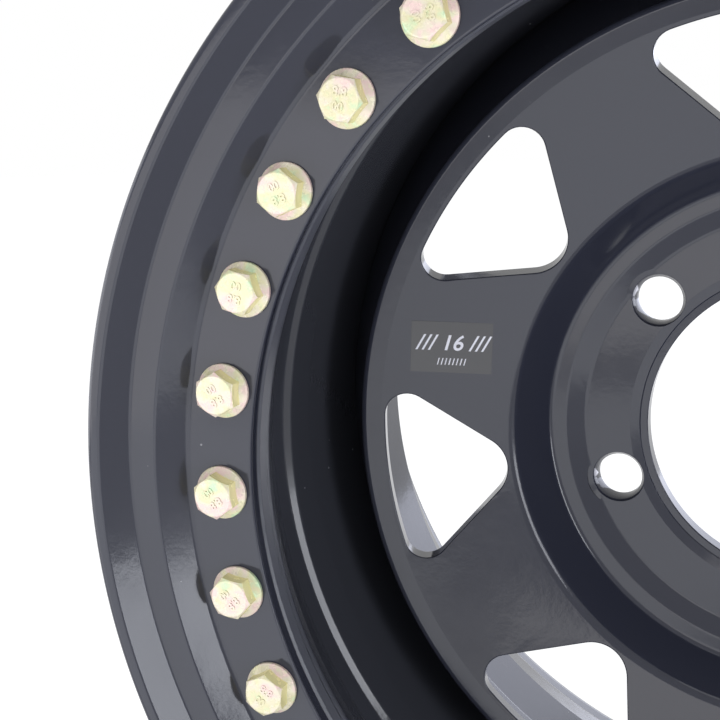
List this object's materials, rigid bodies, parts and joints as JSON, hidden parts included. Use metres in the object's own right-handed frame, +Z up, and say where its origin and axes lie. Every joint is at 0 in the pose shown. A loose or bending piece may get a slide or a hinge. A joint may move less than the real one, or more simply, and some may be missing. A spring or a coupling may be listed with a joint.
{
  "type": "beadlock wheel",
  "caption": "Black steel off-road wheel with a pressed windowed disc and a bolted outer clamp ring that locks the tyre bead.",
  "frame": {"origin": "centre of the hub mounting face", "axes": "+Y along the wheel's axis towards the vehicle, -Y towards the street side, +Z up"},
  "size_m": [0.4399, 0.2476, 0.44],
  "materials": {
    "black_coat": "satin",
    "yellow_zinc": "gloss",
    "weld_coat": "satin",
    "label_film": "gloss"
  },
  "bodies": {
    "root": {"wheel_disc": "black_coat", "rim_barrel": "black_coat", "bead_ring": "black_coat", "clamp_ring": "black_coat", "clamp_bolts": "yellow_zinc", "ring_weld": "weld_coat", "disc_weld": "black_coat", "spoke_label": "label_film"}
  },
  "joints": []
}
